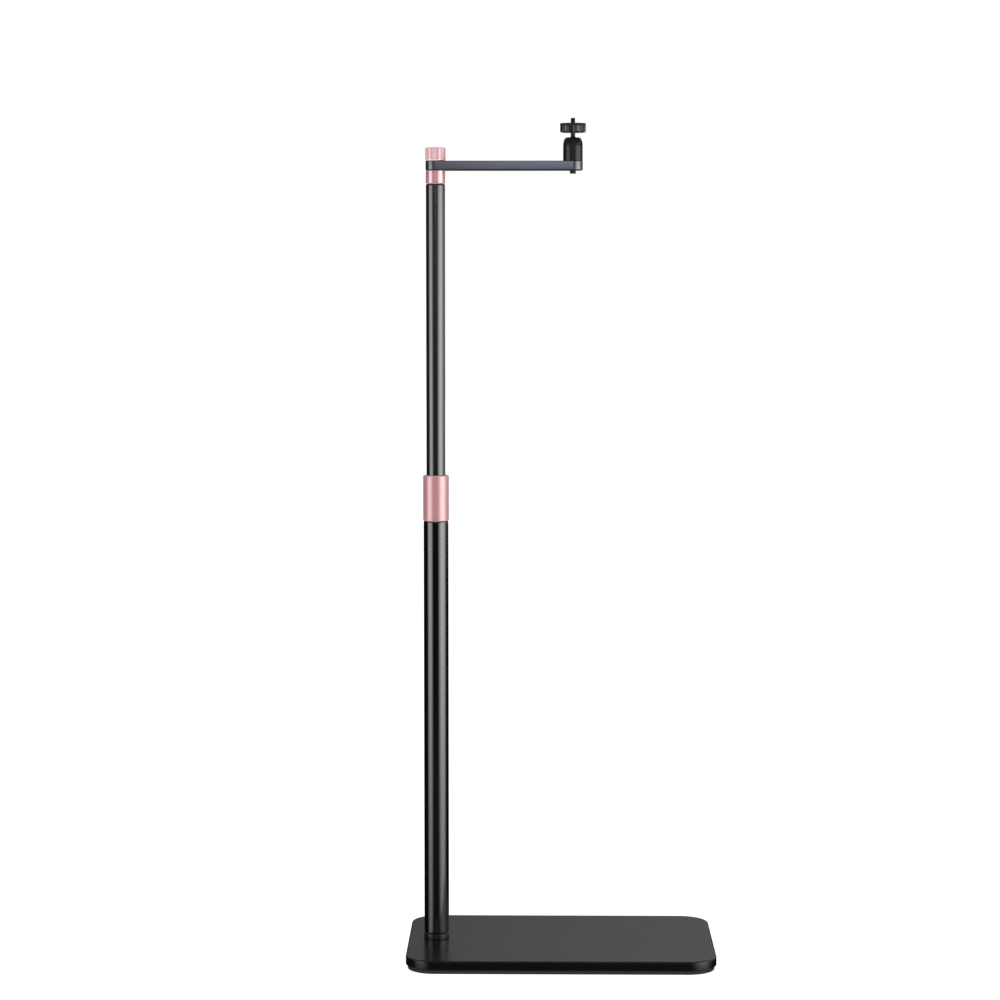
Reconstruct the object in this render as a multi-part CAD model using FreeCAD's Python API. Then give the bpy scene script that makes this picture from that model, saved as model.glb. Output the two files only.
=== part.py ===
import FreeCAD, Part
import math
import os

from FreeCAD import Vector

# Telescopic floor stand: a weighted plate, a two-stage column with a twist lock,
# and a level arm that carries a small ball head with a 1/4 inch stud.
# Millimetres, +Z up. The origin is on the floor under the middle of the plate.

# Base
PLATE_LENGTH = 401.2
PLATE_WIDTH = 262.0
PLATE_THICKNESS = 12.5
PLATE_CORNER_R = 38.0
PLATE_TOP_EASE = 2.0
PLATE_BOTTOM_BEVEL = 1.5
PAD_THICKNESS = 4.8
PAD_INSET = 2.5
COLUMN_FROM_END = 36.75

# Column foot and the bolt that holds it from below
FOOT_RING_HEIGHT = 7.5
FOOT_RING_PROUD = 0.6
FOOT_RING_BEVEL = 0.8
FOOT_SPIGOT_HEIGHT = 40.0
FOOT_BOLT_D = 8.0
FOOT_BOLT_HEAD_D = 13.0
FOOT_BOLT_HEAD_HEIGHT = 5.0
FOOT_BOLT_GRIP = 16.0
FOOT_BOLT_KEY = 5.0
FOOT_BOLT_RECESS = 0.8

# Tubes
LOWER_TUBE_OD = 32.5
LOWER_TUBE_WALL = 1.5
LOWER_TUBE_LENGTH = 546.8
UPPER_TUBE_OD = 24.8
UPPER_TUBE_WALL = 1.5
UPPER_TUBE_LENGTH = 488.5
TUBE_END_TAPER = 2.2
TUBE_END_DRAW = 0.6
STOP_GAP = 5.5

# Twist lock: slotted collet bush in the lower tube and the collar that screws down on it
BUSH_DEPTH = 45.0
BUSH_FLANGE_HEIGHT = 3.0
BUSH_FLANGE_PROUD = 0.4
BUSH_NECK_HEIGHT = 30.0
COLLET_HEIGHT = 18.0
COLLET_BASE_WALL = 2.5
COLLET_TIP_WALL = 1.5
COLLET_SLOTS = 4
COLLET_SLOT_WIDTH = 2.0
COLLAR_PROUD = 0.6
COLLAR_END_WALL = 8.4
COLLAR_BEVEL = 0.9

# Glide at the foot of the upper tube
GLIDE_HEIGHT = 14.0
GLIDE_SPIGOT = 16.0
GLIDE_BORE_D = 14.0

# Mast head, pivot stud and clamp knob
MAST_HEAD_OD = 25.1
MAST_HEAD_HEIGHT = 17.2
MAST_HEAD_BEVEL = 1.3
MAST_HEAD_SPIGOT = 26.0
STUD_D = 10.0
STUD_IN_HEAD = 14.0
STUD_IN_KNOB = 11.0
KNOB_OD = 26.2
KNOB_HEIGHT = 17.0
KNOB_TOP_BEVEL = 0.8
KNOB_LIP_BEVEL = 0.9
KNOB_FLUTES = 12
KNOB_FLUTE_R = 4.5
KNOB_FLUTE_DEPTH = 0.5
KNOB_FLUTE_TURN = 11.0
KNOB_LIP_HEIGHT = 1.8

# Arm
ARM_REACH = 178.1
ARM_WIDTH = 25.6
ARM_THICKNESS = 12.4
ARM_TOP_EASE = 0.8
ARM_BOTTOM_EASE = 1.9

# Ball head
HEAD_SCREW_D = 5.0
HEAD_SCREW_HEAD_D = 7.8
HEAD_SCREW_HEAD_HEIGHT = 4.0
HEAD_SCREW_GRIP = 9.0
HEAD_SCREW_KEY = 4.0
CORE_D = 20.0
CORE_HEIGHT = 15.0
SLEEVE_OD = 25.3
SLEEVE_HEIGHT = 29.9
SLEEVE_TOP_D = 16.8
SLEEVE_DOME_HEIGHT = 11.0
SLEEVE_SHOULDER_DROP = 1.4
BALL_D = 13.0
BALL_DROP = 4.8
MOUTH_FLARE_HEIGHT = 1.5
MOUTH_FLARE = 0.65
LIP_ANGLE = 30.0
SEAT_ANGLE = 45.0
SEAT_WALL = 2.7
SEAT_LIP_DROP = 2.0
SEAT_BORE_D = 6.0
STEM_D = 5.8
STEM_IN_BALL = 8.5
STEM_GAP = 6.5
WHEEL_OD = 33.2
WHEEL_THICKNESS = 8.6
WHEEL_SCALLOPS = 12
WHEEL_SCALLOP_R = 2.0
WHEEL_SCALLOP_DEPTH = 1.5
WHEEL_SCALLOP_TURN = 6.0
WHEEL_BEVEL = 1.2
WHEEL_PAD_THICKNESS = 3.2
MOUNT_STUD_D = 6.35
MOUNT_STUD_LENGTH = 7.0
MOUNT_STUD_BEVEL = 0.6

# Clearances
SEAT_CLEARANCE = 0.05
PIN_CLEARANCE = 0.05
SLIDE_CLEARANCE = 0.1
TURN_CLEARANCE = 0.3
FACE_GAP = 0.15

# Places worked out from the sizes above
PLATE_BOTTOM = PAD_THICKNESS
PLATE_TOP = PLATE_BOTTOM + PLATE_THICKNESS
COLUMN_X = COLUMN_FROM_END - PLATE_LENGTH / 2
LOWER_TUBE_BOTTOM = PLATE_TOP + FOOT_RING_HEIGHT
LOWER_TUBE_TOP = LOWER_TUBE_BOTTOM + LOWER_TUBE_LENGTH
LOWER_TUBE_R = LOWER_TUBE_OD / 2
LOWER_BORE_R = LOWER_TUBE_R - LOWER_TUBE_WALL
UPPER_TUBE_R = UPPER_TUBE_OD / 2
UPPER_BORE_R = UPPER_TUBE_R - UPPER_TUBE_WALL
BUSH_BORE_R = UPPER_TUBE_R + SLIDE_CLEARANCE
BUSH_BOTTOM = LOWER_TUBE_TOP - BUSH_DEPTH
FLANGE_R = LOWER_BORE_R + BUSH_FLANGE_PROUD
FLANGE_TOP = LOWER_TUBE_TOP + BUSH_FLANGE_HEIGHT
NECK_TOP = FLANGE_TOP + BUSH_NECK_HEIGHT
COLLET_TOP = NECK_TOP + COLLET_HEIGHT
COLLAR_BOTTOM = LOWER_TUBE_TOP + FACE_GAP
COLLAR_TOP = COLLET_TOP + TURN_CLEARANCE + COLLAR_END_WALL
UPPER_TUBE_BOTTOM = BUSH_BOTTOM - STOP_GAP
UPPER_TUBE_TOP = UPPER_TUBE_BOTTOM + UPPER_TUBE_LENGTH
MAST_HEAD_TOP = UPPER_TUBE_TOP + MAST_HEAD_HEIGHT
ARM_BOTTOM = MAST_HEAD_TOP + FACE_GAP
ARM_TOP = ARM_BOTTOM + ARM_THICKNESS
KNOB_BOTTOM = ARM_TOP + FACE_GAP
HEAD_X = COLUMN_X + ARM_REACH
SLEEVE_BOTTOM = ARM_TOP + FACE_GAP
SLEEVE_TOP = SLEEVE_BOTTOM + SLEEVE_HEIGHT
BALL_Z = SLEEVE_TOP - BALL_DROP
BALL_R = BALL_D / 2
BALL_SOCKET_R = BALL_R + TURN_CLEARANCE
STEM_R = STEM_D / 2
CORE_TOP = ARM_TOP + CORE_HEIGHT
WHEEL_BOTTOM = SLEEVE_TOP + STEM_GAP
WHEEL_TOP = WHEEL_BOTTOM + WHEEL_THICKNESS
WHEEL_PAD_TOP = WHEEL_TOP + WHEEL_PAD_THICKNESS
MOUNT_STUD_R = MOUNT_STUD_D / 2


def turned(axis_x, outline):
    """A solid turned about the upright line at axis_x, from (radius, height) corners."""
    corners = [Vector(axis_x + radius, 0, height) for radius, height in outline]
    face = Part.Face(Part.makePolygon(corners + corners[:1]))
    return face.revolve(Vector(axis_x, 0, 0), Vector(0, 0, 1), 360)


def rod(axis_x, radius, bottom, top):
    """A plain round bar between two heights."""
    return Part.makeCylinder(radius, top - bottom, Vector(axis_x, 0, bottom))


def hex_key(axis_x, across, bottom, depth):
    """A hexagonal socket, as a solid to cut away."""
    corner_r = across / math.sqrt(3)
    angles = [math.radians(60 * side) for side in range(6)]
    corners = [Vector(axis_x + corner_r * math.cos(a), corner_r * math.sin(a), bottom) for a in angles]
    return Part.Face(Part.makePolygon(corners + corners[:1])).extrude(Vector(0, 0, depth))


def around(axis_x, shape, count, first=0.0):
    """Copies of a shape, evenly spaced about the upright line at axis_x, the first at an angle."""
    copies = []
    for index in range(count):
        copy = shape.copy()
        copy.rotate(Vector(axis_x, 0, 0), Vector(0, 0, 1), first + 360.0 * index / count)
        copies.append(copy)
    return copies


def edges_at(shape, height):
    """The edges that lie flat at one height."""
    def flat(edge):
        box = edge.BoundBox
        return abs(box.ZMin - height) < 1e-6 and abs(box.ZMax - height) < 1e-6
    return [edge for edge in shape.Edges if flat(edge)]


def rounded_slab(length, width, corner_r, bottom, thickness):
    """A flat slab, centred on the origin, with rounded corners in plan."""
    slab = Part.makeBox(length, width, thickness, Vector(-length / 2, -width / 2, bottom))
    uprights = [edge for edge in slab.Edges if edge.BoundBox.ZLength > thickness / 2]
    return slab.makeFillet(corner_r, uprights)


def base_pad():
    pad_length = PLATE_LENGTH - 2 * PAD_INSET
    pad_width = PLATE_WIDTH - 2 * PAD_INSET
    pad = rounded_slab(pad_length, pad_width, PLATE_CORNER_R - PAD_INSET, 0, PAD_THICKNESS)
    access_r = FOOT_BOLT_HEAD_D / 2 + 2 * TURN_CLEARANCE
    return pad.cut(rod(COLUMN_X, access_r, 0, PAD_THICKNESS))


def base_plate():
    slab = rounded_slab(PLATE_LENGTH, PLATE_WIDTH, PLATE_CORNER_R, PLATE_BOTTOM, PLATE_THICKNESS)
    slab = slab.makeFillet(PLATE_TOP_EASE, edges_at(slab, PLATE_TOP))
    slab = slab.makeChamfer(PLATE_BOTTOM_BEVEL, edges_at(slab, PLATE_BOTTOM))
    head_top = PLATE_BOTTOM + FOOT_BOLT_RECESS + FOOT_BOLT_HEAD_HEIGHT
    counterbore_r = FOOT_BOLT_HEAD_D / 2 + TURN_CLEARANCE
    hole_r = FOOT_BOLT_D / 2 + TURN_CLEARANCE
    slab = slab.cut(rod(COLUMN_X, counterbore_r, PLATE_BOTTOM, head_top))
    return slab.cut(rod(COLUMN_X, hole_r, head_top, PLATE_TOP))


def foot_bolt():
    head_bottom = PLATE_BOTTOM + FOOT_BOLT_RECESS
    head_top = head_bottom + FOOT_BOLT_HEAD_HEIGHT
    head = rod(COLUMN_X, FOOT_BOLT_HEAD_D / 2, head_bottom, head_top)
    shank = rod(COLUMN_X, FOOT_BOLT_D / 2, head_top, PLATE_TOP + FOOT_BOLT_GRIP)
    key_depth = FOOT_BOLT_HEAD_HEIGHT / 2
    return head.fuse(shank).removeSplitter().cut(hex_key(COLUMN_X, FOOT_BOLT_KEY, head_bottom, key_depth))


def foot_boss():
    ring_r = LOWER_TUBE_R + FOOT_RING_PROUD
    spigot_r = LOWER_BORE_R - SEAT_CLEARANCE
    hole_r = FOOT_BOLT_D / 2 + SEAT_CLEARANCE
    spigot_top = LOWER_TUBE_BOTTOM + FOOT_SPIGOT_HEIGHT
    return turned(COLUMN_X, [
        (hole_r, PLATE_TOP),
        (ring_r, PLATE_TOP),
        (ring_r, LOWER_TUBE_BOTTOM - FOOT_RING_BEVEL),
        (ring_r - FOOT_RING_BEVEL, LOWER_TUBE_BOTTOM),
        (spigot_r, LOWER_TUBE_BOTTOM),
        (spigot_r, spigot_top - FOOT_RING_BEVEL),
        (spigot_r - FOOT_RING_BEVEL, spigot_top),
        (hole_r, spigot_top),
    ])


def tube(outer_r, bore_r, bottom, top):
    """A round tube whose two ends are drawn in a little."""
    return turned(COLUMN_X, [
        (bore_r, bottom),
        (outer_r - TUBE_END_DRAW, bottom),
        (outer_r, bottom + TUBE_END_TAPER),
        (outer_r, top - TUBE_END_TAPER),
        (outer_r - TUBE_END_DRAW, top),
        (bore_r, top),
    ])


def lower_tube():
    return tube(LOWER_TUBE_R, LOWER_BORE_R, LOWER_TUBE_BOTTOM, LOWER_TUBE_TOP)


def upper_tube():
    return tube(UPPER_TUBE_R, UPPER_BORE_R, UPPER_TUBE_BOTTOM, UPPER_TUBE_TOP)


def guide_bush():
    body_r = LOWER_BORE_R - SEAT_CLEARANCE
    neck_r = BUSH_BORE_R + COLLET_BASE_WALL
    bush = turned(COLUMN_X, [
        (BUSH_BORE_R, BUSH_BOTTOM),
        (body_r, BUSH_BOTTOM),
        (body_r, LOWER_TUBE_TOP),
        (FLANGE_R, LOWER_TUBE_TOP),
        (FLANGE_R, FLANGE_TOP),
        (neck_r, FLANGE_TOP),
        (neck_r, NECK_TOP),
        (BUSH_BORE_R + COLLET_TIP_WALL, COLLET_TOP),
        (BUSH_BORE_R, COLLET_TOP),
    ])
    slot = Part.makeBox(LOWER_TUBE_R, COLLET_SLOT_WIDTH, COLLET_HEIGHT,
                        Vector(COLUMN_X, -COLLET_SLOT_WIDTH / 2, NECK_TOP))
    return bush.cut(around(COLUMN_X, slot, COLLET_SLOTS))


def lock_collar():
    outer_r = LOWER_TUBE_R + COLLAR_PROUD
    flange_bore_r = FLANGE_R + TURN_CLEARANCE
    neck_bore_r = BUSH_BORE_R + COLLET_BASE_WALL + TURN_CLEARANCE
    tip_bore_r = BUSH_BORE_R + COLLET_TIP_WALL + TURN_CLEARANCE
    end_bore_r = UPPER_TUBE_R + TURN_CLEARANCE
    return turned(COLUMN_X, [
        (flange_bore_r, COLLAR_BOTTOM),
        (outer_r - COLLAR_BEVEL, COLLAR_BOTTOM),
        (outer_r, COLLAR_BOTTOM + COLLAR_BEVEL),
        (outer_r, COLLAR_TOP - COLLAR_BEVEL),
        (outer_r - COLLAR_BEVEL, COLLAR_TOP),
        (end_bore_r, COLLAR_TOP),
        (end_bore_r, COLLET_TOP + TURN_CLEARANCE),
        (tip_bore_r, COLLET_TOP + TURN_CLEARANCE),
        (neck_bore_r, NECK_TOP + TURN_CLEARANCE),
        (neck_bore_r, FLANGE_TOP + TURN_CLEARANCE),
        (flange_bore_r, FLANGE_TOP + TURN_CLEARANCE),
    ])


def tube_glide():
    ring_r = LOWER_BORE_R - TURN_CLEARANCE
    spigot_r = UPPER_BORE_R - SEAT_CLEARANCE
    ring_bottom = UPPER_TUBE_BOTTOM - GLIDE_HEIGHT
    return turned(COLUMN_X, [
        (GLIDE_BORE_D / 2, ring_bottom),
        (ring_r, ring_bottom),
        (ring_r, UPPER_TUBE_BOTTOM),
        (spigot_r, UPPER_TUBE_BOTTOM),
        (spigot_r, UPPER_TUBE_BOTTOM + GLIDE_SPIGOT),
        (GLIDE_BORE_D / 2, UPPER_TUBE_BOTTOM + GLIDE_SPIGOT),
    ])


def mast_head():
    collar_r = MAST_HEAD_OD / 2
    spigot_r = UPPER_BORE_R - SEAT_CLEARANCE
    stud_hole_r = STUD_D / 2 + SEAT_CLEARANCE
    return turned(COLUMN_X, [
        (0, UPPER_TUBE_TOP - MAST_HEAD_SPIGOT),
        (spigot_r, UPPER_TUBE_TOP - MAST_HEAD_SPIGOT),
        (spigot_r, UPPER_TUBE_TOP),
        (collar_r - MAST_HEAD_BEVEL, UPPER_TUBE_TOP),
        (collar_r, UPPER_TUBE_TOP + MAST_HEAD_BEVEL),
        (collar_r, MAST_HEAD_TOP),
        (stud_hole_r, MAST_HEAD_TOP),
        (stud_hole_r, MAST_HEAD_TOP - STUD_IN_HEAD),
        (0, MAST_HEAD_TOP - STUD_IN_HEAD),
    ])


def pivot_stud():
    return rod(COLUMN_X, STUD_D / 2, MAST_HEAD_TOP - STUD_IN_HEAD, KNOB_BOTTOM + STUD_IN_KNOB)


def clamp_knob():
    outer_r = KNOB_OD / 2
    hole_r = STUD_D / 2 + PIN_CLEARANCE
    hole_top = KNOB_BOTTOM + STUD_IN_KNOB + TURN_CLEARANCE
    knob_top = KNOB_BOTTOM + KNOB_HEIGHT
    knob = turned(COLUMN_X, [
        (hole_r, KNOB_BOTTOM),
        (outer_r - KNOB_LIP_BEVEL, KNOB_BOTTOM),
        (outer_r, KNOB_BOTTOM + KNOB_LIP_BEVEL),
        (outer_r, knob_top - KNOB_TOP_BEVEL),
        (outer_r - KNOB_TOP_BEVEL, knob_top),
        (0, knob_top),
        (0, hole_top),
        (hole_r, hole_top),
    ])
    flute_x = COLUMN_X + outer_r + KNOB_FLUTE_R - KNOB_FLUTE_DEPTH
    flute = rod(flute_x, KNOB_FLUTE_R, KNOB_BOTTOM + KNOB_LIP_HEIGHT, knob_top)
    return knob.cut(around(COLUMN_X, flute, KNOB_FLUTES, KNOB_FLUTE_TURN))


def arm_bar():
    half_width = ARM_WIDTH / 2
    near_left = Vector(COLUMN_X, -half_width, ARM_BOTTOM)
    near_right = Vector(HEAD_X, -half_width, ARM_BOTTOM)
    far_right = Vector(HEAD_X, half_width, ARM_BOTTOM)
    far_left = Vector(COLUMN_X, half_width, ARM_BOTTOM)
    right_end = Vector(HEAD_X + half_width, 0, ARM_BOTTOM)
    left_end = Vector(COLUMN_X - half_width, 0, ARM_BOTTOM)
    outline = Part.Wire([
        Part.makeLine(near_left, near_right),
        Part.Arc(near_right, right_end, far_right).toShape(),
        Part.makeLine(far_right, far_left),
        Part.Arc(far_left, left_end, near_left).toShape(),
    ])
    bar = Part.Face(outline).extrude(Vector(0, 0, ARM_THICKNESS))
    bar = bar.makeFillet(ARM_BOTTOM_EASE, edges_at(bar, ARM_BOTTOM))
    bar = bar.makeFillet(ARM_TOP_EASE, edges_at(bar, ARM_TOP))
    stud_hole = rod(COLUMN_X, STUD_D / 2 + PIN_CLEARANCE, ARM_BOTTOM, ARM_TOP)
    screw_hole = rod(HEAD_X, HEAD_SCREW_D / 2 + TURN_CLEARANCE, ARM_BOTTOM, ARM_TOP)
    return bar.cut([stud_hole, screw_hole])


def head_screw():
    head_bottom = ARM_BOTTOM - HEAD_SCREW_HEAD_HEIGHT
    head = rod(HEAD_X, HEAD_SCREW_HEAD_D / 2, head_bottom, ARM_BOTTOM)
    shank = rod(HEAD_X, HEAD_SCREW_D / 2, ARM_BOTTOM, ARM_TOP + HEAD_SCREW_GRIP)
    key_depth = HEAD_SCREW_HEAD_HEIGHT / 2
    return head.fuse(shank).removeSplitter().cut(hex_key(HEAD_X, HEAD_SCREW_KEY, head_bottom, key_depth))


def head_core():
    hole_r = HEAD_SCREW_D / 2 + SEAT_CLEARANCE
    hole_top = ARM_TOP + HEAD_SCREW_GRIP + TURN_CLEARANCE
    return turned(HEAD_X, [
        (hole_r, ARM_TOP),
        (CORE_D / 2, ARM_TOP),
        (CORE_D / 2, CORE_TOP),
        (0, CORE_TOP),
        (0, hole_top),
        (hole_r, hole_top),
    ])


def socket_r(rise, angle):
    """Radius, at a height above the ball's centre, of a cone that clears the ball at that latitude."""
    slope = math.radians(angle)
    return (BALL_SOCKET_R - rise * math.sin(slope)) / math.cos(slope)


def lock_sleeve():
    outer_r = SLEEVE_OD / 2
    top_r = SLEEVE_TOP_D / 2
    dome_bottom = SLEEVE_TOP - SLEEVE_DOME_HEIGHT
    bore_r = CORE_D / 2 + TURN_CLEARANCE
    shoulder = BALL_Z - SLEEVE_SHOULDER_DROP
    mouth_bottom = SLEEVE_TOP - MOUTH_FLARE_HEIGHT
    lip_r = socket_r(mouth_bottom - BALL_Z, LIP_ANGLE)
    inside = [
        (top_r, SLEEVE_TOP),
        (lip_r + MOUTH_FLARE, SLEEVE_TOP),
        (lip_r, mouth_bottom),
        (socket_r(-SLEEVE_SHOULDER_DROP, LIP_ANGLE), shoulder),
        (bore_r, shoulder),
        (bore_r, SLEEVE_BOTTOM),
        (outer_r, SLEEVE_BOTTOM),
        (outer_r, dome_bottom),
    ]
    corners = [Vector(HEAD_X + radius, 0, height) for radius, height in inside]
    dome = Part.Ellipse(corners[0], corners[-1], Vector(HEAD_X + top_r, 0, dome_bottom))
    outline = Part.Wire(Part.makePolygon(corners).Edges + [dome.toShape(0, math.pi / 2)])
    return Part.Face(outline).revolve(Vector(HEAD_X, 0, 0), Vector(0, 0, 1), 360)


def ball_seat():
    seat_r = BALL_SOCKET_R + SEAT_WALL
    seat_bottom = CORE_TOP + FACE_GAP
    lip = BALL_Z - SEAT_LIP_DROP
    bore_r = SEAT_BORE_D / 2
    cone_r = socket_r(-SEAT_LIP_DROP, -SEAT_ANGLE)
    cone_bottom = lip - (cone_r - bore_r) / math.tan(math.radians(SEAT_ANGLE))
    return turned(HEAD_X, [
        (bore_r, seat_bottom),
        (seat_r, seat_bottom),
        (seat_r, lip),
        (cone_r, lip),
        (bore_r, cone_bottom),
    ])


def ball():
    sphere = Part.makeSphere(BALL_R, Vector(HEAD_X, 0, BALL_Z))
    hole_bottom = BALL_Z + BALL_R - STEM_IN_BALL
    return sphere.cut(rod(HEAD_X, STEM_R + PIN_CLEARANCE, hole_bottom, BALL_Z + BALL_R))


def ball_stem():
    stem_bottom = BALL_Z + BALL_R - STEM_IN_BALL + TURN_CLEARANCE
    stud_top = WHEEL_PAD_TOP + MOUNT_STUD_LENGTH
    return turned(HEAD_X, [
        (0, stem_bottom),
        (STEM_R, stem_bottom),
        (STEM_R, WHEEL_PAD_TOP),
        (MOUNT_STUD_R, WHEEL_PAD_TOP),
        (MOUNT_STUD_R, stud_top - MOUNT_STUD_BEVEL),
        (MOUNT_STUD_R - MOUNT_STUD_BEVEL, stud_top),
        (0, stud_top),
    ])


def lock_wheel():
    wheel_r = WHEEL_OD / 2
    wheel = turned(HEAD_X, [
        (STEM_R + PIN_CLEARANCE, WHEEL_BOTTOM),
        (wheel_r - WHEEL_BEVEL, WHEEL_BOTTOM),
        (wheel_r, WHEEL_BOTTOM + WHEEL_BEVEL),
        (wheel_r, WHEEL_TOP),
        (STEM_R + PIN_CLEARANCE, WHEEL_TOP),
    ])
    scallop_x = HEAD_X + wheel_r + WHEEL_SCALLOP_R - WHEEL_SCALLOP_DEPTH
    scallop = rod(scallop_x, WHEEL_SCALLOP_R, WHEEL_BOTTOM, WHEEL_TOP)
    return wheel.cut(around(HEAD_X, scallop, WHEEL_SCALLOPS, WHEEL_SCALLOP_TURN))


def wheel_pad():
    disc = rod(HEAD_X, WHEEL_OD / 2, WHEEL_TOP, WHEEL_PAD_TOP)
    return disc.cut(rod(HEAD_X, STEM_R + PIN_CLEARANCE, WHEEL_TOP, WHEEL_PAD_TOP))


PIECES = [
    base_pad, base_plate, foot_bolt, foot_boss, lower_tube, guide_bush, lock_collar,
    upper_tube, tube_glide, mast_head, pivot_stud, arm_bar, clamp_knob,
    head_screw, head_core, lock_sleeve, ball_seat, ball, ball_stem, lock_wheel, wheel_pad,
]

os.makedirs("parts", exist_ok=True)
for piece in PIECES:
    piece().exportStep(f"parts/{piece.__name__}.step")
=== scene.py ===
import math

import bpy
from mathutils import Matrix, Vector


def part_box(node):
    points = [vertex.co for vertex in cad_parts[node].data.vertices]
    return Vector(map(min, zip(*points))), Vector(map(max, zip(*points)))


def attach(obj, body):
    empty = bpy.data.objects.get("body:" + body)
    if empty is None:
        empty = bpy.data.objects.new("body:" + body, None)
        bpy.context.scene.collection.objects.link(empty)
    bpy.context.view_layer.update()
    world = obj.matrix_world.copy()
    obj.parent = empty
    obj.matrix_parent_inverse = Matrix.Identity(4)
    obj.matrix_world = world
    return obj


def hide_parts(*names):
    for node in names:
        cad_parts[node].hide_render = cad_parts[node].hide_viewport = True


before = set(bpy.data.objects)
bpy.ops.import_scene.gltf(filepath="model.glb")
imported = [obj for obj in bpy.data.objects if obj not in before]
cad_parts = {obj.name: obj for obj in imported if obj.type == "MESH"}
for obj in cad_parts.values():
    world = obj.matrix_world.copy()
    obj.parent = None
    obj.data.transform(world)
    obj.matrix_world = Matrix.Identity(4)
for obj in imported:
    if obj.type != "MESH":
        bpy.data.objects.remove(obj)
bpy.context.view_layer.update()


# Anti-slip pad: die-cut EVA foam sheet, matt charcoal, glued under the plate a little in from
# its edge. A hole lets the key reach the foot bolt.
ROUND = 128  # sides of a round piece
PAST = 0.001  # how far a cutter goes past the face that it cuts
TURN_GAP = 0.0003  # room round what turns or passes through
SEAT_GAP = 0.00005  # room round what is pressed or screwed in


class Value:
    """A socket in a node tree. Sums on it add Math nodes, and node() adds any other node."""

    def __init__(self, tree, socket=None):
        self.tree = tree
        self.socket = socket

    def node(self, kind, settings, inputs, output=0):
        made = self.tree.nodes.new(kind)
        for key, value in settings.items():
            setattr(made, key, value)
        for key, value in inputs.items():
            if isinstance(value, Value):
                self.tree.links.new(value.socket, made.inputs[key])
            else:
                made.inputs[key].default_value = value
        return Value(self.tree, made.outputs[output] if made.outputs else None)

    def maths(self, operation, first, second):
        return self.node("ShaderNodeMath", {"operation": operation}, {0: first, 1: second})

    def __add__(self, other):
        return self.maths("ADD", self, other)

    def __radd__(self, other):
        return self.maths("ADD", other, self)

    def __sub__(self, other):
        return self.maths("SUBTRACT", self, other)

    def __rsub__(self, other):
        return self.maths("SUBTRACT", other, self)

    def __mul__(self, other):
        return self.maths("MULTIPLY", self, other)

    def __rmul__(self, other):
        return self.maths("MULTIPLY", other, self)


def material(name):
    """An empty material, with its node tree and its Object coordinates as values."""
    made = bpy.data.materials.new(name)
    made.use_nodes = True
    made.node_tree.nodes.clear()
    tree = Value(made.node_tree)
    place = tree.node("ShaderNodeTexCoord", {}, {}, "Object")
    return made, tree, place


def noise(place, size, detail=2.0, stretch=(1, 1, 1)):
    """Soft noise from 0 to 1 whose spots are about the given size, pulled out along the axes."""
    across = place.node("ShaderNodeMapping", {}, {"Vector": place, "Scale": stretch})
    inputs = {"Vector": across, "Scale": 1 / size, "Detail": detail}
    return place.node("ShaderNodeTexNoise", {}, inputs, "Fac")


def tinted(tree, amount, low, high):
    """A colour between two, by an amount from 0 to 1."""
    inputs = {0: amount, 6: (*low, 1), 7: (*high, 1)}
    return tree.node("ShaderNodeMix", {"data_type": "RGBA"}, inputs, 2)


def bumped(tree, height, depth):
    """A normal that follows a height from 0 to 1, at a depth in metres."""
    return tree.node("ShaderNodeBump", {}, {"Height": height, "Distance": depth, "Strength": 1.0})


def surface(tree, inputs):
    """Closes a material with a Principled shader that has these inputs."""
    shader = tree.node("ShaderNodeBsdfPrincipled", {}, inputs)
    tree.node("ShaderNodeOutputMaterial", {}, {"Surface": shader})


def slab(name, low, high, corner_r, steps):
    """A flat slab with round corners in plan: a sheet with its corners bevelled, drawn upward."""
    bpy.ops.object.select_all(action="DESELECT")
    middle = ((low[0] + high[0]) / 2, (low[1] + high[1]) / 2, low[2])
    bpy.ops.mesh.primitive_plane_add(size=1, location=middle)
    piece = bpy.context.object
    piece.name = name
    bpy.ops.object.mode_set(mode="EDIT")
    bpy.ops.transform.resize(value=(high[0] - low[0], high[1] - low[1], 1), center_override=middle)
    bpy.ops.mesh.bevel(offset=corner_r, segments=steps, affect="VERTICES")
    bpy.ops.mesh.select_all(action="SELECT")
    bpy.ops.mesh.remove_doubles(threshold=1e-5)
    bpy.ops.mesh.extrude_region_move(TRANSFORM_OT_translate={"value": (0, 0, high[2] - low[2])})
    bpy.ops.object.mode_set(mode="OBJECT")
    return piece


def ease(piece, height, width, steps):
    """Bevels the edges of a piece that lie flat at one height."""
    lift = piece.location.z
    bpy.ops.object.mode_set(mode="EDIT")
    bpy.ops.mesh.select_mode(type="EDGE")
    bpy.ops.mesh.select_all(action="DESELECT")
    bpy.ops.object.mode_set(mode="OBJECT")
    points = piece.data.vertices
    for edge in piece.data.edges:
        edge.select = all(abs(points[index].co.z + lift - height) < 1e-6 for index in edge.vertices)
    bpy.ops.object.mode_set(mode="EDIT")
    bpy.ops.mesh.bevel(offset=width, segments=steps, affect="EDGES")
    bpy.ops.object.mode_set(mode="OBJECT")


def cut(piece, cutter):
    """Takes one solid away from another."""
    knife = piece.modifiers.new("cut", "BOOLEAN")
    knife.operation = "DIFFERENCE"
    knife.solver = "EXACT"
    knife.object = cutter
    bpy.ops.object.select_all(action="DESELECT")
    bpy.context.view_layer.objects.active = piece
    bpy.ops.object.modifier_apply(modifier=knife.name)
    bpy.data.objects.remove(cutter)


def drill(piece, x, radius, bottom, top, sides=ROUND):
    """An upright hole between two heights."""
    bpy.ops.object.select_all(action="DESELECT")
    bpy.ops.mesh.primitive_cylinder_add(
        vertices=sides, radius=radius, depth=top - bottom, location=(x, 0, (bottom + top) / 2))
    cut(piece, bpy.context.object)


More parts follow.
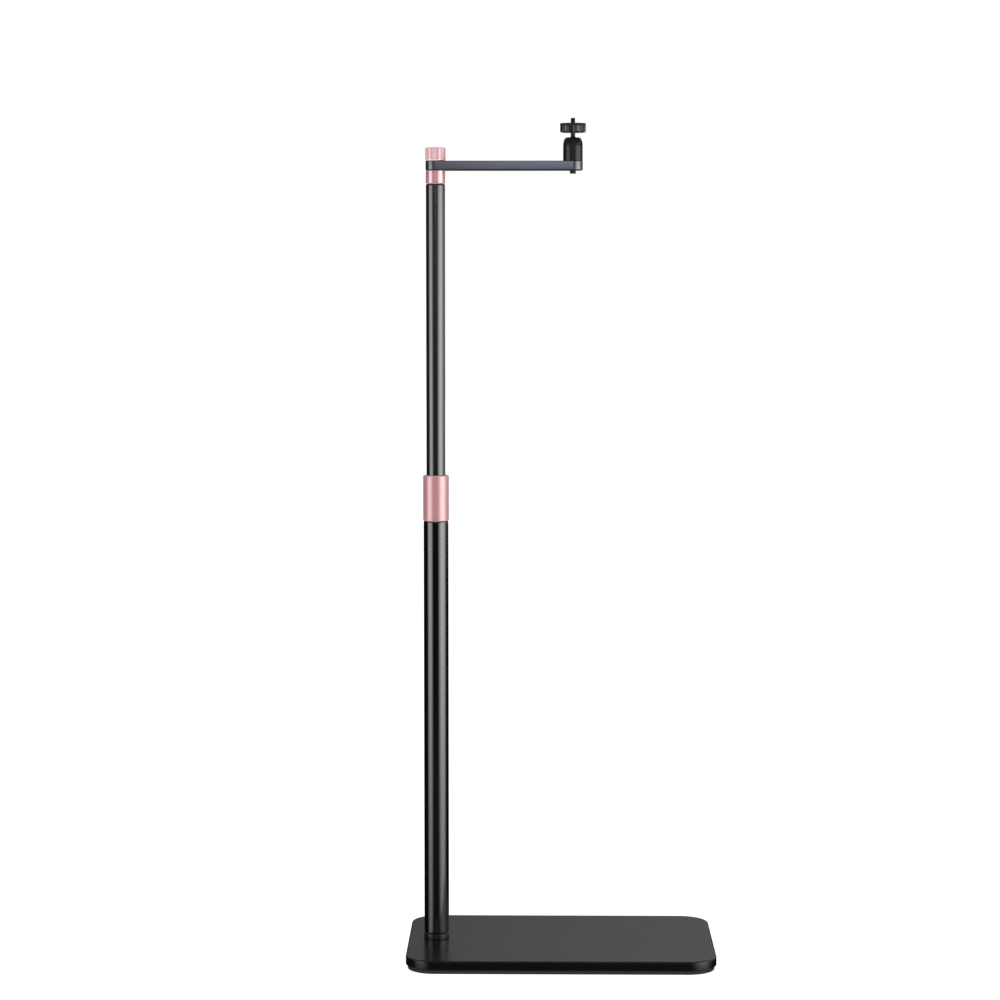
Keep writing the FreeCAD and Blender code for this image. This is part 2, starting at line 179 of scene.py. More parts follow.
def settle(piece, shading, angle=30):
    """Puts a piece's place into its mesh, turns its faces outward, smooths those that meet below the
    angle, and gives the piece its material."""
    bpy.ops.object.select_all(action="DESELECT")
    piece.select_set(True)
    bpy.context.view_layer.objects.active = piece
    bpy.ops.object.transform_apply(location=True, rotation=True, scale=True)
    bpy.ops.object.mode_set(mode="EDIT")
    bpy.ops.mesh.select_all(action="SELECT")
    bpy.ops.mesh.remove_doubles(threshold=1e-6)
    bpy.ops.mesh.normals_make_consistent(inside=False)
    bpy.ops.object.mode_set(mode="OBJECT")
    bpy.ops.object.shade_smooth_by_angle(angle=math.radians(angle))
    even = piece.modifiers.new("even", "WEIGHTED_NORMAL")
    even.keep_sharp = True
    bpy.ops.object.modifier_apply(modifier=even.name)
    piece.data.materials.clear()
    piece.data.materials.append(shading)


pad_low, pad_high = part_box("base_pad")
column_x = (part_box("lower_tube")[0][0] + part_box("lower_tube")[1][0]) / 2

foam, tree, place = material("charcoal_foam")
cells = noise(place, 0.0009, 3.0)
surface(tree, {
    "Base Color": tinted(tree, noise(place, 0.02), (0.018, 0.018, 0.019), (0.025, 0.025, 0.026)),
    "Roughness": 0.72 + 0.15 * cells,
    "Specular IOR Level": 0.3,
    "Normal": bumped(tree, cells, 0.00015),
})

pad_corner_r = 0.0355
bolt_head_r = 0.0065
key_hole_r = bolt_head_r + 2 * TURN_GAP
pad = slab("anti_slip_pad", pad_low, pad_high, pad_corner_r, steps=24)
ease(pad, pad_low[2], width=0.0006, steps=2)
drill(pad, column_x, key_hole_r, pad_low[2] - PAST, pad_high[2] + PAST)
settle(pad, foam)
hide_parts("base_pad")
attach(pad, "base")


# Base plate: thick steel plate with round corners, its top edge rounded over and its lower edge
# bevelled, sprayed in fine satin black powder coat. Counterbored from below for the foot bolt.
powder, tree, place = material("satin_powder_coat")
speckle = noise(place, 0.0007, 2.0)
cloud = noise(place, 0.06, 2.0)
surface(tree, {
    "Base Color": tinted(tree, cloud, (0.0010, 0.0010, 0.0011), (0.0016, 0.0016, 0.0017)),
    "Roughness": 0.22 + 0.03 * cloud + 0.02 * speckle,
    "IOR": 1.85,
    "Normal": bumped(tree, speckle, 0.000012),
})

plate_low, plate_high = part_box("base_plate")
plate_corner_r = 0.038
bolt_low, bolt_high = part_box("foot_bolt")
bolt_head_height = 0.005
bolt_shoulder = bolt_low[2] + bolt_head_height
bolt_r = 0.004
plate = slab("base_slab", plate_low, plate_high, plate_corner_r, steps=32)
ease(plate, plate_high[2], width=0.0020, steps=8)
ease(plate, plate_low[2], width=0.0015, steps=2)
drill(plate, column_x, bolt_head_r + TURN_GAP, plate_low[2] - PAST, bolt_shoulder)
drill(plate, column_x, bolt_r + TURN_GAP, bolt_shoulder - PAST, plate_high[2] + PAST)
settle(plate, powder)
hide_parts("base_plate")
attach(plate, "base")


# Foot bolt: M8 steel socket screw with a low head, zinc plated. It goes up through the plate from
# below and pulls the column's foot down on it.
def turn(name, axis_x, rings, open_bore=False):
    """A turned piece: a circle drawn out ring by ring, each a radius and a height. With open_bore
    the last ring meets the first; otherwise both ends are closed flat."""
    bpy.ops.object.select_all(action="DESELECT")
    radius, height = rings[0]
    cap = "NOTHING" if open_bore else "NGON"
    bpy.ops.mesh.primitive_circle_add(
        vertices=ROUND, radius=radius, fill_type=cap, location=(axis_x, 0, height))
    piece = bpy.context.object
    piece.name = name
    bpy.ops.object.mode_set(mode="EDIT")
    following = rings[1:] + (rings[:1] if open_bore else [])
    for next_radius, next_height in following:
        rise = (0, 0, next_height - height)
        bpy.ops.mesh.extrude_region_move(TRANSFORM_OT_translate={"value": rise})
        scale = next_radius / radius
        bpy.ops.transform.resize(value=(scale, scale, 1), center_override=(axis_x, 0, next_height))
        radius, height = next_radius, next_height
    bpy.ops.object.mode_set(mode="OBJECT")
    return piece


def soften(piece, width, steps=2, angle=30):
    """Rounds every edge of a piece that is sharper than the angle."""
    bpy.ops.object.select_all(action="DESELECT")
    bpy.context.view_layer.objects.active = piece
    piece.select_set(True)
    bpy.ops.object.mode_set(mode="EDIT")
    bpy.ops.mesh.select_all(action="SELECT")
    bpy.ops.mesh.remove_doubles(threshold=1e-6)
    bpy.ops.mesh.normals_make_consistent(inside=False)
    bpy.ops.object.mode_set(mode="OBJECT")
    edge = piece.modifiers.new("edge", "BEVEL")
    edge.width = width
    edge.segments = steps
    edge.limit_method = "ANGLE"
    edge.angle_limit = math.radians(angle)
    bpy.ops.object.modifier_apply(modifier=edge.name)


def key_socket(screw, x, across, bottom, depth):
    """The hexagonal socket for a key, in the underside of a screw's head."""
    corner_r = across / 2 / math.cos(math.radians(30))
    drill(screw, x, corner_r, bottom - PAST, bottom + depth, sides=6)


zinc, tree, place = material("zinc_plate")
haze = noise(place, 0.004, 3.0)
surface(tree, {
    "Base Color": tinted(tree, haze, (0.46, 0.47, 0.48), (0.58, 0.58, 0.57)),
    "Metallic": 1.0,
    "Roughness": 0.26 + 0.14 * haze,
})

bolt = turn("foot_screw", column_x, [
    (bolt_head_r, bolt_low[2]),
    (bolt_head_r, bolt_shoulder),
    (bolt_r, bolt_shoulder),
    (bolt_r, bolt_high[2]),
])
soften(bolt, width=0.0004)
key_socket(bolt, column_x, across=0.005, bottom=bolt_low[2], depth=bolt_head_height / 2)
settle(bolt, zinc)
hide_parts("foot_bolt")
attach(bolt, "base")


# Column foot: turned steel ring on the plate, a little wider than the tube, with a spigot that
# goes up into it. Same black coat as the tube, held by the bolt from below.
def black_enamel(name, low, high):
    """Black stoved enamel with a faint orange peel."""
    made, tree, place = material(name)
    peel = noise(place, 0.0022, 1.0)
    cloud = noise(place, 0.03, 2.0)
    surface(tree, {
        "Base Color": tinted(tree, cloud, low, high),
        "Roughness": 0.12 + 0.03 * cloud,
        "IOR": 2.3,
        "Normal": bumped(tree, peel, 0.000002),
    })
    return made


lower_black = black_enamel("gloss_enamel", (0.0010, 0.0010, 0.0011), (0.0016, 0.0016, 0.0017))

boss_low, boss_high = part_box("foot_boss")
ring_r = (boss_high[0] - boss_low[0]) / 2
ring_edge = 0.0004
ring_bevel = 0.0008
lower_low, lower_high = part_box("lower_tube")
tube_wall = 0.0015
lower_bore_r = (lower_high[0] - lower_low[0]) / 2 - tube_wall
spigot_r = lower_bore_r - SEAT_GAP
ring_top = lower_low[2]
foot = turn("column_foot", column_x, [
    (bolt_r + SEAT_GAP, boss_low[2]),
    (ring_r - ring_edge, boss_low[2]),
    (ring_r, boss_low[2] + ring_edge),
    (ring_r, ring_top - ring_bevel),
    (ring_r - ring_bevel, ring_top),
    (spigot_r, ring_top),
    (spigot_r, boss_high[2] - ring_bevel),
    (spigot_r - ring_bevel, boss_high[2]),
    (bolt_r + SEAT_GAP, boss_high[2]),
], open_bore=True)
soften(foot, width=0.0003)
settle(foot, lower_black)
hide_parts("foot_boss")
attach(foot, "base")


# Lower tube: drawn steel tube of 32 mm, in glossy black enamel, its ends drawn in a little. It is
# pressed over the foot's spigot.
def pipe(name, node):
    """A tube that fills a CAD node's box, its two ends drawn in a little."""
    low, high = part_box(node)
    outer_r = (high[0] - low[0]) / 2
    taper = 0.0022
    draw = 0.0006
    piece = turn(name, column_x, [
        (outer_r - tube_wall, low[2]),
        (outer_r - draw, low[2]),
        (outer_r, low[2] + taper),
        (outer_r, high[2] - taper),
        (outer_r - draw, high[2]),
        (outer_r - tube_wall, high[2]),
    ], open_bore=True)
    soften(piece, width=0.0002)
    return piece


lower_pipe = pipe("lower_pipe", "lower_tube")
settle(lower_pipe, lower_black)
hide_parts("lower_tube")
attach(lower_pipe, "base")


# Collet bush: moulded black nylon, pressed into the lower tube, with four slots so that the
# collar can close it on the upper tube. Hidden, so the CAD shape stays.
def refinish(node, shading):
    """Gives its material to a CAD node that keeps its shape."""
    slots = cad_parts[node].data.materials
    slots.clear()
    slots.append(shading)


nylon, tree, place = material("black_nylon")
grain = noise(place, 0.0006, 2.0)
surface(tree, {
    "Base Color": tinted(tree, noise(place, 0.01), (0.008, 0.008, 0.008), (0.012, 0.012, 0.012)),
    "Roughness": 0.42 + 0.10 * grain,
    "Normal": bumped(tree, grain, 0.00001),
})
refinish("guide_bush", nylon)


# Lock collar: turned aluminium, anodised rose gold, bevelled at both ends. It turns on the collet
# bush and pulls it shut on the upper tube.
def ramp(value, start, end):
    """0 before start, 1 after end, and smooth between them."""
    inputs = {"Value": value, "From Min": start, "From Max": end}
    return value.node("ShaderNodeMapRange", {"interpolation_type": "SMOOTHSTEP"}, inputs)


def rose_gold(name, dyed, bright, metallic, roughness, ior, lip, rim=10.0, land=1.0):
    """Rose-gold anodised aluminium with the fine rings that turning leaves, painted lighter below the
    height of its lip, above that of its rim and at the radius of its lands: painted highlights where
    those edges and lands catch the light. The rim and the lands are out of reach unless they are
    given."""
    made, tree, place = material(name)
    rings = noise(place, 0.02, 2.0, (1, 1, 90))
    height = tree.node("ShaderNodeSeparateXYZ", {}, {"Vector": place}, "Z")
    blend = 0.0002
    # The bands below the lip and above the rim are painted lighter: painted highlights where the
    # bevels catch the light.
    edge = (1 - ramp(height, lip - blend, lip + blend)) + ramp(height, rim - blend, rim + blend)
    to_axis = {0: place, 1: (1, 1, 0), 2: (-column_x, 0, 0)}
    spoke = tree.node("ShaderNodeVectorMath", {"operation": "MULTIPLY_ADD"}, to_axis)
    radius = tree.node("ShaderNodeVectorMath", {"operation": "LENGTH"}, {0: spoke}, "Value")
    # Random tone, plus painted highlights on the edge bands and, where a land radius is given, on the
    # lands.
    tone_and_painted_highlight = 0.25 * noise(place, 0.012) + 0.75 * edge + 0.5 * ramp(radius, land - 0.0003, land - 0.0001)
    surface(tree, {
        "Base Color": tinted(tree, tone_and_painted_highlight, dyed, bright),
        "Metallic": metallic,
        "Roughness": roughness + 0.01 * rings,
        "IOR": ior,
        "Normal": bumped(tree, rings, 0.0000001),
    })
    return made


collar_low, collar_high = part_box("lock_collar")
painted_highlight_band = 0.0010
# Both bevelled ends are painted lighter for a band: painted highlights where the bevels catch the
# light.
collar_gold = rose_gold(
    "rose_gold_satin", dyed=(0.52, 0.21, 0.225), bright=(0.84, 0.44, 0.47), metallic=0.15,
    roughness=0.265, ior=3.3, lip=collar_low[2] + painted_highlight_band, rim=collar_high[2] - painted_highlight_band)

collar_r = (collar_high[0] - collar_low[0]) / 2
collar_bevel = 0.0009
upper_low, upper_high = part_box("upper_tube")
upper_r = (upper_high[0] - upper_low[0]) / 2
end_bore_r = upper_r + TURN_GAP
collet_tip_r = 0.0140
collet_foot_r = 0.0150
bush_flange_r = lower_bore_r + 0.0004
collet_height = 0.018
bush_neck_height = 0.030
cone_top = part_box("guide_bush")[1][2] + TURN_GAP
cone_foot = cone_top - collet_height
neck_foot = cone_foot - bush_neck_height
collar = turn("twist_collar", column_x, [
    (bush_flange_r + TURN_GAP, collar_low[2]),
    (collar_r - collar_bevel, collar_low[2]),
    (collar_r, collar_low[2] + collar_bevel),
    (collar_r, collar_high[2] - collar_bevel),
    (collar_r - collar_bevel, collar_high[2]),
    (end_bore_r, collar_high[2]),
    (end_bore_r, cone_top),
    (collet_tip_r + TURN_GAP, cone_top),
    (collet_foot_r + TURN_GAP, cone_foot),
    (collet_foot_r + TURN_GAP, neck_foot),
    (bush_flange_r + TURN_GAP, neck_foot),
], open_bore=True)
soften(collar, width=0.00025)
settle(collar, collar_gold, angle=24)
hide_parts("lock_collar")
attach(collar, "collar")


# Upper tube: drawn steel tube of 25 mm, in black enamel that is a shade lighter than the lower
# one's. It slides in the collet bush.
upper_black = black_enamel("satin_enamel", (0.0075, 0.0075, 0.0078), (0.0095, 0.0095, 0.0099))
upper_pipe = pipe("upper_pipe", "upper_tube")
settle(upper_pipe, upper_black)
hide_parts("upper_tube")
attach(upper_pipe, "mast")


# Tube glide: moulded black nylon, pressed into the foot of the upper tube. It runs in the lower
# tube and stops under the collet bush. Hidden, so the CAD shape stays.
refinish("tube_glide", nylon)


# Mast head: turned aluminium plug, polished and anodised rose gold, its lower edge painted lighter as
# a
#  painted highlight. It is pressed into the upper tube and has a threaded hole for the pivot stud.
mast_low, mast_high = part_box("mast_head")
mast_bevel = 0.0013
tube_top = upper_high[2]
# The band above the lower bevel is painted lighter: a painted highlight.
head_gold = rose_gold(
    "rose_gold_polished", dyed=(0.53, 0.205, 0.23), bright=(0.86, 0.50, 0.53), metallic=0.15,
    roughness=0.125, ior=4.0, lip=tube_top + mast_bevel)

mast_r = (mast_high[0] - mast_low[0]) / 2
plug_r = upper_r - tube_wall - SEAT_GAP
stud_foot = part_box("pivot_stud")[0][2]
stud_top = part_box("pivot_stud")[1][2]
stud_r = 0.005
stud_hole_r = stud_r + SEAT_GAP
mast = turn("mast_plug", column_x, [
    (plug_r, mast_low[2]),
    (plug_r, tube_top),
    (mast_r - mast_bevel, tube_top),
    (mast_r, tube_top + mast_bevel),
    (mast_r, mast_high[2]),
    (stud_hole_r, mast_high[2]),
    (stud_hole_r, stud_foot),
])
soften(mast, width=0.0002)
settle(mast, head_gold, angle=24)
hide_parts("mast_head")
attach(mast, "mast")


# Pivot stud: zinc-plated steel, screwed into the mast head; the arm turns on it. Hidden, so the
# CAD shape stays.
refinish("pivot_stud", zinc)


# Arm: flat aluminium bar with full-round ends, finely blasted and anodised blue-grey, its edges
# rounded. It turns on the pivot stud and carries the ball head.
blue_grey, tree, place = material("blue_grey_anodised")
grit = noise(place, 0.0005, 2.0)
cloud = noise(place, 0.03, 2.0)
surface(tree, {
    "Base Color": tinted(tree, cloud, (0.194, 0.197, 0.206), (0.213, 0.216, 0.226)),
    "Metallic": 0.9,
    "Roughness": 0.15 + 0.03 * grit,
    "Normal": bumped(tree, grit, 0.0000003),
})

arm_low, arm_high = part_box("arm_bar")
head_x = (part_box("ball")[0][0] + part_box("ball")[1][0]) / 2
hair = 1e-6  # keeps the two corners of a round end apart
arm_end_r = (arm_high[1] - arm_low[1]) / 2 - hair
screw_r = 0.0025
arm = slab("swing_arm", arm_low, arm_high, arm_end_r, steps=32)
ease(arm, arm_high[2], width=0.0008, steps=4)
ease(arm, arm_low[2], width=0.0019, steps=6)
drill(arm, column_x, stud_hole_r, arm_low[2] - PAST, arm_high[2] + PAST)
drill(arm, head_x, screw_r + TURN_GAP, arm_low[2] - PAST, arm_high[2] + PAST)
settle(arm, blue_grey)
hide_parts("arm_bar")
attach(arm, "arm")


# Clamp knob: turned aluminium, anodised rose gold, with twelve shallow finger flutes whose lands are
#  painted lighter, above a plain lip that is painted lighter too: painted highlights. It screws down
#  on the pivot stud.
def scallop(piece, axis_x, outer_r, count, first, radius, depth, bottom, top):
    """Round hollows down the side of a turned piece, evenly spaced, the first at an angle."""
    offset = outer_r + radius - depth
    for index in range(count):
        angle = math.radians(first + 360 * index / count)
        bpy.ops.object.select_all(action="DESELECT")
        spot = (axis_x + offset * math.cos(angle), offset * math.sin(angle), (bottom + top) / 2)
        bpy.ops.mesh.primitive_cylinder_add(
            vertices=ROUND, radius=radius, depth=top - bottom, location=spot)
        cut(piece, bpy.context.object)


knob_low, knob_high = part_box("clamp_knob")
knob_r = (knob_high[1] - knob_low[1]) / 2
lip_top = knob_low[2] + 0.0018
lip_bevel = 0.0009
knob_bevel = 0.0008
# The lands and the lip are painted highlights, and the dyed colour is painted lighter than the
# collar's: painted light for the light that falls on the knob from the front.
knob_gold = rose_gold(
    "rose_gold_matt", dyed=(0.60, 0.305, 0.33), bright=(0.92, 0.63, 0.66), metallic=0.22,
    roughness=0.265, ior=1.9, lip=lip_top + 0.0001, land=knob_r)

knob = turn("arm_knob", column_x, [
    (stud_hole_r, stud_top + TURN_GAP),
    (stud_hole_r, knob_low[2]),
    (knob_r - lip_bevel, knob_low[2]),
    (knob_r, knob_low[2] + lip_bevel),
    (knob_r, knob_high[2] - knob_bevel),
    (knob_r - knob_bevel, knob_high[2]),
])
scallop(knob, column_x, knob_r, count=12, first=11, radius=0.0045, depth=0.0005,
        bottom=lip_top, top=knob_high[2] + PAST)
soften(knob, width=0.0002, angle=40)
settle(knob, knob_gold, angle=24)
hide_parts("clamp_knob")
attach(knob, "knob")


# Head screw: blackened steel socket screw. It goes up through the arm from below and holds the
# ball head's core.
blackened, tree, place = material("blackened_steel")
haze = noise(place, 0.003, 3.0)
surface(tree, {
    "Base Color": tinted(tree, haze, (0.030, 0.031, 0.034), (0.042, 0.043, 0.047)),
    "Metallic": 0.7,
    "Roughness": 0.24 + 0.08 * haze,
})

screw_low, screw_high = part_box("head_screw")
screw_head_r = (screw_high[1] - screw_low[1]) / 2
screw = turn("socket_screw", head_x, [
    (screw_head_r, screw_low[2]),
    (screw_head_r, arm_low[2]),
    (screw_r, arm_low[2]),
    (screw_r, screw_high[2]),
])
soften(screw, width=0.0003)
key_socket(screw, head_x, across=0.004, bottom=screw_low[2], depth=0.0023)
settle(screw, blackened)
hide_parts("head_screw")
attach(screw, "arm")


# Ball head core: turned black aluminium, screwed down on the arm inside the sleeve. Hidden, so
# the CAD shape stays.
anodised, tree, place = material("black_anodised")
rings = noise(place, 0.02, 2.0, (1, 1, 60))
cloud = noise(place, 0.008, 2.0)
surface(tree, {
    "Base Color": tinted(tree, cloud, (0.006, 0.006, 0.007), (0.009, 0.009, 0.010)),
    "Roughness": 0.17 + 0.06 * rings,
    "Specular IOR Level": 0.62,
    "Normal": bumped(tree, rings, 0.0000003),
})
refinish("head_core", anodised)


# Ball seat: moulded black nylon cup on top of the core, in which the ball turns. Hidden, so the CAD
# shape stays.
refinish("ball_seat", nylon)


# Locking sleeve: turned aluminium, anodised satin black, drawn in to a dome at the mouth. It
# screws down on the core and its lip presses the ball into the seat.
sleeve_low, sleeve_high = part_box("lock_sleeve")
sleeve_r = (sleeve_high[1] - sleeve_low[1]) / 2
sleeve_edge = 0.0003
core_low, core_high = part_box("head_core")
sleeve_bore_r = (core_high[1] - core_low[1]) / 2 + TURN_GAP
dome_top_r = 0.0084
dome_height = 0.011
dome_steps = 20
dome_foot = sleeve_high[2] - dome_height
ball_low, ball_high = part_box("ball")
ball_r = (ball_high[1] - ball_low[1]) / 2
ball_z = ball_low[2] + ball_r
socket_r = ball_r + TURN_GAP
lip_slope = math.radians(30)
mouth_flare = 0.00065
mouth = sleeve_high[2] - 0.0015
shoulder = ball_z - 0.0014


def lip_r(height):
    """Radius of the cone inside the lip, which clears the ball all round."""
    return (socket_r - (height - ball_z) * math.sin(lip_slope)) / math.cos(lip_slope)


dome = []
for step in range(dome_steps + 1):
    angle = math.pi / 2 * step / dome_steps
    radius = dome_top_r + (sleeve_r - dome_top_r) * math.cos(angle)
    dome.append((radius, dome_foot + dome_height * math.sin(angle)))
sleeve = turn("ball_sleeve", head_x, [
    (sleeve_bore_r, sleeve_low[2]),
    (sleeve_r - sleeve_edge, sleeve_low[2]),
    (sleeve_r, sleeve_low[2] + sleeve_edge),
    *dome,
    (lip_r(mouth) + mouth_flare, sleeve_high[2]),
    (lip_r(mouth), mouth),
    (lip_r(shoulder), shoulder),
    (sleeve_bore_r, shoulder),
], open_bore=True)
soften(sleeve, width=0.0002)
settle(sleeve, anodised)
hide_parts("lock_sleeve")
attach(sleeve, "sleeve")


# Ball: turned aluminium, polished and anodised black, with a hole for the stem's foot. The sleeve's
# lip presses it into its seat.
polished, tree, place = material("polished_black")
cloud = noise(place, 0.004, 2.0)
surface(tree, {
    "Base Color": tinted(tree, cloud, (0.006, 0.006, 0.007), (0.009, 0.009, 0.010)),
    "Roughness": 0.08 + 0.05 * cloud,
    "IOR": 1.9,
})

stem_r = 0.0029
stem_hole_r = stem_r + SEAT_GAP
stem_hole_depth = 0.0085
ball_top = ball_z + ball_r
bpy.ops.object.select_all(action="DESELECT")
bpy.ops.mesh.primitive_uv_sphere_add(
    segments=96, ring_count=48, radius=ball_r, location=(head_x, 0, ball_z))
ball = bpy.context.object
ball.name = "swivel_ball"
drill(ball, head_x, stem_hole_r, ball_top - stem_hole_depth, ball_top + PAST)
settle(ball, polished)
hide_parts("ball")
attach(ball, "ball")


# Stem: blackened steel pin out of the ball, through the wheel and the pad, which ends as the
# 1/4 inch stud with twenty threads to the inch.
def thread(axis_x, bottom, turns, root_r, crest_r, pitch):
    """A screw thread: a blunt wedge carried round and up the axis, with its two ends closed."""
    root_width = 0.9 * pitch
    crest_share = 0.15
    middle_r = (crest_r + root_r) / 2
    bpy.ops.object.select_all(action="DESELECT")
    foot = (axis_x, 0, bottom)
    bpy.ops.mesh.primitive_plane_add(size=1, location=foot)
    piece = bpy.context.object
    bpy.ops.object.mode_set(mode="EDIT")
    bpy.ops.transform.rotate(value=math.radians(90), orient_axis="X", center_override=foot)
    bpy.ops.transform.resize(value=(crest_r - root_r, 1, root_width), center_override=foot)
    bpy.ops.transform.translate(value=(middle_r, 0, pitch / 2))
    bpy.ops.mesh.delete(type="ONLY_FACE")
    bpy.ops.mesh.select_all(action="DESELECT")
    bpy.ops.object.mode_set(mode="OBJECT")
    for point in piece.data.vertices:
        point.select = point.co.x > middle_r
    bpy.ops.object.mode_set(mode="EDIT")
    wedge_middle = (axis_x, 0, bottom + pitch / 2)
    bpy.ops.transform.resize(value=(1, 1, crest_share), center_override=wedge_middle)
    bpy.ops.object.mode_set(mode="OBJECT")
    helix = piece.modifiers.new("helix", "SCREW")
    helix.axis = "Z"
    helix.angle = math.radians(360)
    helix.screw_offset = pitch
    helix.iterations = turns
    helix.steps = 48
    bpy.ops.object.modifier_apply(modifier=helix.name)
    bpy.ops.object.mode_set(mode="EDIT")
    bpy.ops.mesh.select_all(action="SELECT")
    bpy.ops.mesh.fill_holes(sides=4)
    bpy.ops.object.mode_set(mode="OBJECT")
    return piece


stem_low, stem_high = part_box("ball_stem")
disc_low, disc_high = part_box("wheel_pad")
stud_core_r = 0.00245
thread_pitch = 0.0254 / 20
stem = turn("stem_pin", head_x, [
    (stem_r, stem_low[2]),
    (stem_r, disc_high[2]),
    (stud_core_r, disc_high[2]),
    (stud_core_r, stem_high[2]),
])
soften(stem, width=0.00015)
stud_thread = thread(head_x, bottom=disc_high[2] + 0.0002, turns=4, root_r=stud_core_r - SEAT_GAP,
                     crest_r=0.00312, pitch=thread_pitch)
bpy.ops.object.select_all(action="DESELECT")
stud_thread.select_set(True)
stem.select_set(True)
bpy.context.view_layer.objects.active = stem
bpy.ops.object.join()
settle(stem, blackened)
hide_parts("ball_stem")
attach(stem, "stem")


# Locking wheel: turned aluminium, polished and anodised black, with twelve finger hollows milled in
# its rim. It is threaded on the stem and runs up against what is mounted on the stud.
wheel_low, wheel_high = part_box("lock_wheel")
wheel_r = (disc_high[1] - disc_low[1]) / 2
wheel_bevel = 0.0012
wheel = turn("finger_wheel", head_x, [
    (stem_hole_r, wheel_low[2]),
    (wheel_r - wheel_bevel, wheel_low[2]),
    (wheel_r, wheel_low[2] + wheel_bevel),
    (wheel_r, wheel_high[2]),
    (stem_hole_r, wheel_high[2]),
], open_bore=True)
scallop(wheel, head_x, wheel_r, count=12, first=6, radius=0.0020, depth=0.0015,
        bottom=wheel_low[2] - PAST, top=wheel_high[2] + PAST)
soften(wheel, width=0.0003, angle=35)
settle(wheel, polished)
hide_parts("lock_wheel")
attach(wheel, "wheel")


# Wheel pad: die-cut disc of black rubber, glued on top of the wheel, so that it grips what stands
# on it.
rubber, tree, place = material("black_rubber")
grain = noise(place, 0.0005, 2.0)
surface(tree, {
    "Base Color": tinted(tree, noise(place, 0.006), (0.010, 0.010, 0.010), (0.015, 0.015, 0.015)),
    "Roughness": 0.58 + 0.12 * grain,
    "Specular IOR Level": 0.4,
    "Normal": bumped(tree, grain, 0.00002),
})

disc = turn("grip_disc", head_x, [
    (stem_hole_r, disc_low[2]),
    (wheel_r, disc_low[2]),
    (wheel_r, disc_high[2]),
    (stem_hole_r, disc_high[2]),
], open_bore=True)
soften(disc, width=0.0004)
settle(disc, rubber)
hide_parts("wheel_pad")
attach(disc, "wheel")


# Studio: pale matt floor and white backdrop. A tall soft box and a card above it stand at each side
# of the column, a low card behind it and a small bluish one before the arm. The camera stands where
# the photograph was taken from.
floor_paint, tree, place = material("pale_floor")
surface(tree, {
    "Base Color": tinted(tree, noise(place, 0.4), (0.28, 0.28, 0.28), (0.30, 0.30, 0.30)),
    "Roughness": 0.9,
    "Specular IOR Level": 0.0,
    "Emission Color": (1, 1, 1, 1),
    "Emission Strength": 0.97,
})

floor_drop = 0.0005
bpy.ops.object.select_all(action="DESELECT")
bpy.ops.mesh.primitive_plane_add(size=30, location=(0, 0, -floor_drop))
floor = bpy.context.object
floor.name = "studio_floor"
floor.data.materials.append(floor_paint)
floor.visible_glossy = False
floor.visible_shadow = False


def soft_box(name, spot, azimuth, size, level, left, right, foot, head, lean=0.0, colour=(1, 1, 1)):
    """An upright soft box that is brightest inside its fades: left, right, foot and head, each as
    the share of its width or height where it starts and ends. Above the height of its bend, its lit
    part leans to one side."""
    bend = 0.415
    upright = (math.radians(90), 0, math.radians(azimuth))
    bpy.ops.object.select_all(action="DESELECT")
    bpy.ops.object.light_add(type="AREA", location=spot, rotation=upright)
    lamp = bpy.context.object
    lamp.name = name
    lamp.visible_camera = False
    lamp.data.shape = "RECTANGLE"
    lamp.data.size, lamp.data.size_y = size
    lamp.data.energy = level * math.pi * size[0] * size[1]
    lamp.data.use_nodes = True
    lamp.data.node_tree.nodes.clear()
    tree = Value(lamp.data.node_tree)
    face = tree.node("ShaderNodeNewGeometry", {}, {}, "Parametric")
    up = tree.node("ShaderNodeSeparateXYZ", {}, {"Vector": face}, "Y")
    leaning = lean * tree.maths("MAXIMUM", up - bend, 0.0)
    across = tree.node("ShaderNodeSeparateXYZ", {}, {"Vector": face}, "X") - leaning
    sideways = ramp(across, *left) * (1 - ramp(across, *right))
    strength = sideways * ramp(up, *foot) * (1 - ramp(up, *head))
    glow = tree.node("ShaderNodeEmission", {}, {"Color": (*colour, 1), "Strength": strength})
    tree.node("ShaderNodeOutputLight", {}, {"Surface": glow})


def beside(azimuth, height):
    """A place round the column, at an azimuth from the camera's side."""
    distance = 8.0
    angle = math.radians(azimuth)
    return column_x + distance * math.sin(angle), -distance * math.cos(angle), height


soft_box("left_soft_box", beside(-56, 0.1), -56, size=(10.0, 5.4), level=1.9, lean=-0.25,
         left=(0.0, 0.42), right=(0.58, 1.0), foot=(-0.1, 0.51), head=(0.73, 0.82))
soft_box("right_soft_box", beside(65, 0.1), 65, size=(19.0, 5.4), level=2.6, lean=0.13,
         left=(0.03, 0.46), right=(0.50, 0.93), foot=(-0.1, 0.51), head=(0.73, 0.82))
soft_box("left_top_card", beside(-66, 2.9), -66, size=(10.0, 1.4), level=0.6,
         left=(0.0, 0.42), right=(0.58, 1.0), foot=(0.0, 0.3), head=(0.4, 1.0))
soft_box("right_top_card", beside(71, 2.9), 71, size=(15.0, 1.4), level=1.1,
         left=(0.0, 0.44), right=(0.52, 1.0), foot=(0.0, 0.3), head=(0.4, 1.0))
soft_box("rim_card", beside(126, 0.55), 126, size=(7.8, 1.6), level=0.55,
         left=(0.0, 0.2), right=(0.85, 1.0), foot=(0.0, 0.2), head=(0.85, 1.0))
soft_box("front_card", (-0.17, -12.0, 1.925), 0, size=(1.98, 1.05), level=2.4,
         left=(0.22, 0.54), right=(0.74, 0.98), foot=(0.0, 0.06), head=(0.8, 1.0),
         colour=(0.79, 0.84, 1.13))

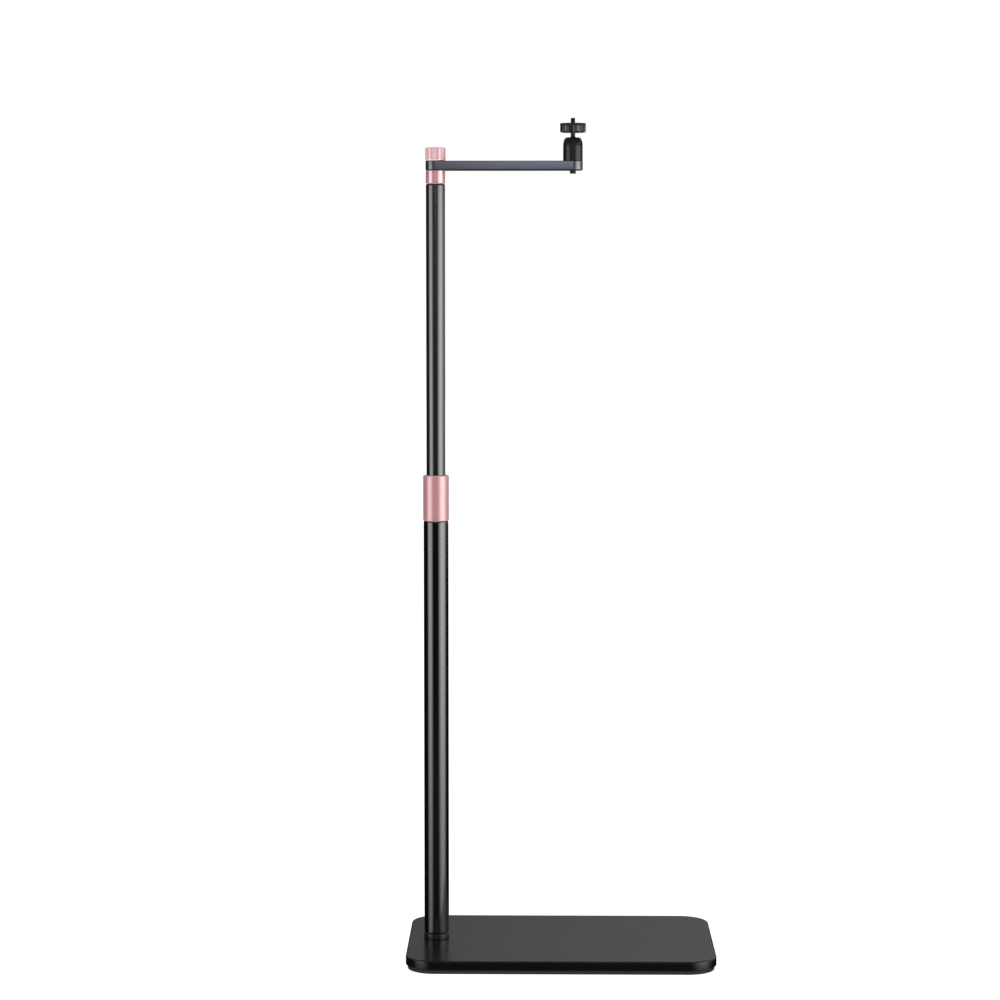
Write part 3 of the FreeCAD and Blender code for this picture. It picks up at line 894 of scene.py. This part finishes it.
world = bpy.data.worlds.new("studio")
bpy.context.scene.world = world
world.cycles.sampling_method = "NONE"
world.use_nodes = True
world.node_tree.nodes.clear()
tree = Value(world.node_tree)
heading = tree.node("ShaderNodeTexCoord", {}, {}, "Generated")
side = tree.node("ShaderNodeSeparateXYZ", {}, {"Vector": heading}, "X")
depth = tree.node("ShaderNodeSeparateXYZ", {}, {"Vector": heading}, "Y")
rise = tree.node("ShaderNodeSeparateXYZ", {}, {"Vector": heading}, "Z")
seen = tree.node("ShaderNodeLightPath", {}, {}, "Is Camera Ray")
mirrored = tree.node("ShaderNodeLightPath", {}, {}, "Is Glossy Ray")

# What polished faces mirror: light overhead that grows to the back and to the right, a glow underfoot
# that grows to the sides, and a level strip above and below the lens.
sweep = 0.13 + 0.188 * ramp(side, -0.13, 0.06)
overhead = (0.07 + sweep * ramp(depth, 0.0, 0.6)) * ramp(rise, 0.16, 0.218)
underfoot = (0.06 + 0.24 * side * side) * (1 - ramp(rise, -0.48, -0.32))
above = 0.12 * ramp(rise, -0.06, 0.04) * (1 - ramp(rise, 0.2, 0.4))
below = 0.05 * ramp(rise, -0.225, -0.205) * (1 - ramp(rise, -0.19, -0.15))
behind_lens = 1 - ramp(depth, -0.9, -0.6)
reflected = 0.006 + overhead + underfoot + (above + below) * behind_lens

# What matt faces get: even light, a little stronger from the front. The camera sees plain white.
ambient = 0.80 - 0.3 * depth
strength = seen + mirrored * reflected + (1 - seen - mirrored) * ambient
shader = tree.node("ShaderNodeBackground", {}, {"Color": (1, 1, 1, 1), "Strength": strength})
tree.node("ShaderNodeOutputWorld", {}, {"Surface": shader})

bpy.ops.object.select_all(action="DESELECT")
tilt_down = 4.7347
pan_left = 0.7996
aim = (math.radians(90 - tilt_down), 0, math.radians(pan_left))
bpy.ops.object.camera_add(location=(-0.0283, -3.71355, 0.90637), rotation=aim)
camera = bpy.context.object
camera.data.sensor_width = 36
camera.data.lens = 102.58
bpy.context.scene.camera = camera
bpy.context.scene.view_settings.view_transform = "Standard"
